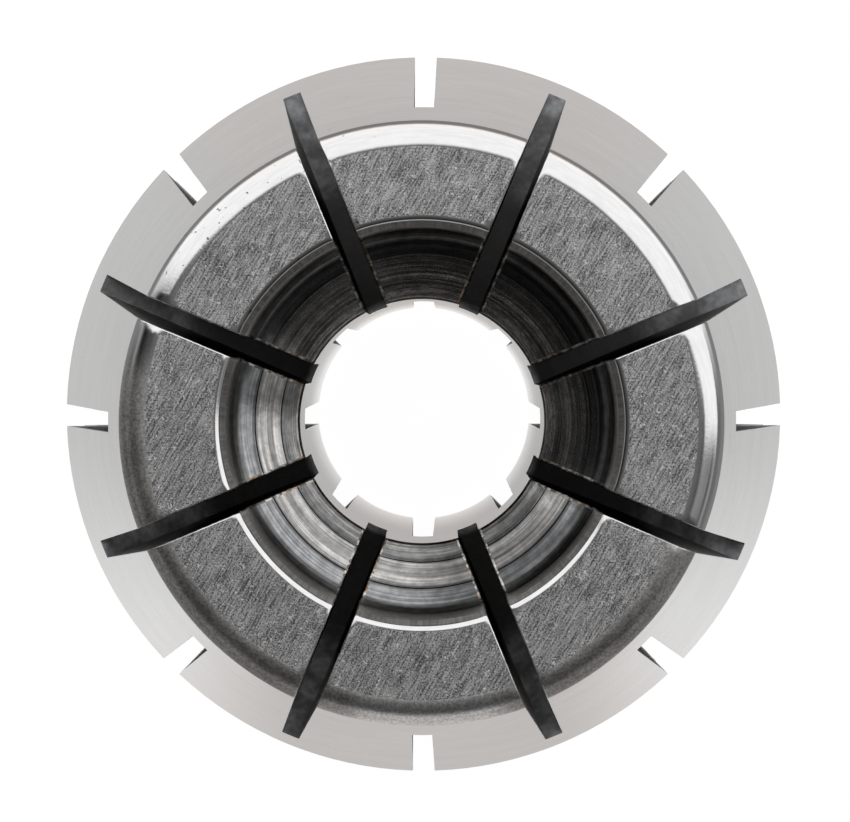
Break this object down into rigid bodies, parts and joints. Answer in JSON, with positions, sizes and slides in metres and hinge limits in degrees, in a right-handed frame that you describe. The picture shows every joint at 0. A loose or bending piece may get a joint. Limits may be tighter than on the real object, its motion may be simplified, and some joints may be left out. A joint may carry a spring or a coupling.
{
  "type": "er collet",
  "caption": "Double-slit ER spring collet: a tapered steel sleeve that a nut squeezes onto a round tool shank.",
  "frame": {"origin": "centre of the front face, on the axis, in the plane that the collet stands on", "axes": "+Z along the axis from the front face to the rear face, +X through a front slit"},
  "size_m": [0.033, 0.033, 0.04],
  "materials": {
    "steel": "ground seat and bore, lapped rear face, turned relief, sawn slits"
  },
  "bodies": {
    "root": {"collet": "steel"}
  },
  "joints": []
}
